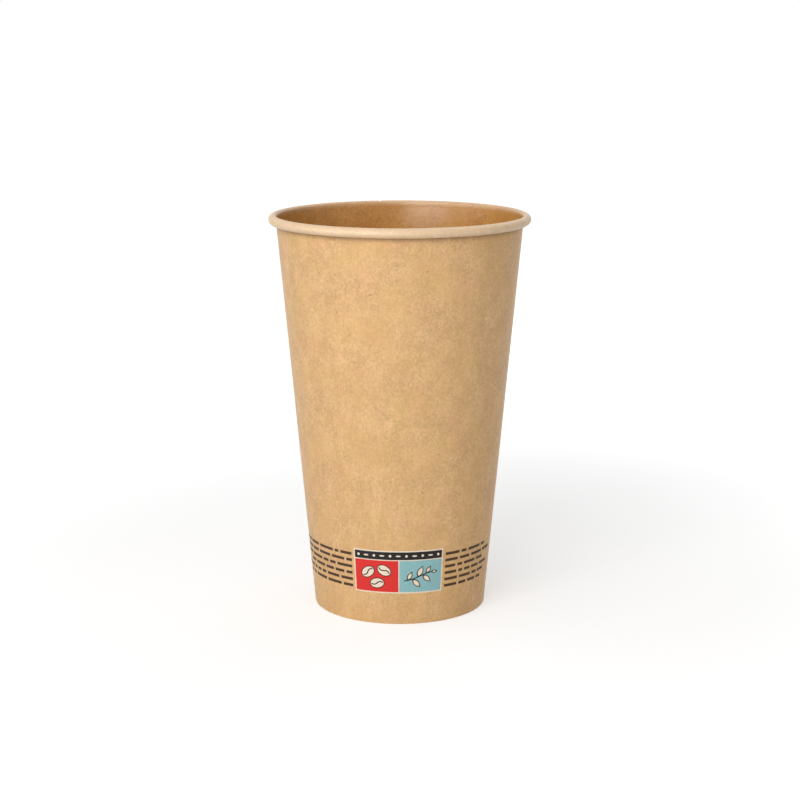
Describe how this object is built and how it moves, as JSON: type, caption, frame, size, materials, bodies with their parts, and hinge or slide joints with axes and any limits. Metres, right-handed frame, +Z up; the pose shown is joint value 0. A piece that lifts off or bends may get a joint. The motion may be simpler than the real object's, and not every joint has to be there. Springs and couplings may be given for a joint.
{
  "type": "paper coffee cup",
  "caption": "Tall open cup for hot drinks in brown kraft board: a tapered wall with a glued back seam, an outward-rolled rim and a raised floor held in a folded hem.",
  "frame": {"origin": "middle of the ring that the cup stands on", "axes": "+Z up along the cup's axis, -Y towards the printed front, +Y towards the glued back seam"},
  "size_m": [0.09, 0.09, 0.1374],
  "materials": {
    "wall_board": "matt brown kraft board, faintly glossy coating inside and on the rim",
    "floor_board": "brown kraft board with a faintly glossy coating on its upper side"
  },
  "bodies": {
    "root": {"side_wall": "wall_board", "bottom_disc": "floor_board"}
  },
  "joints": []
}
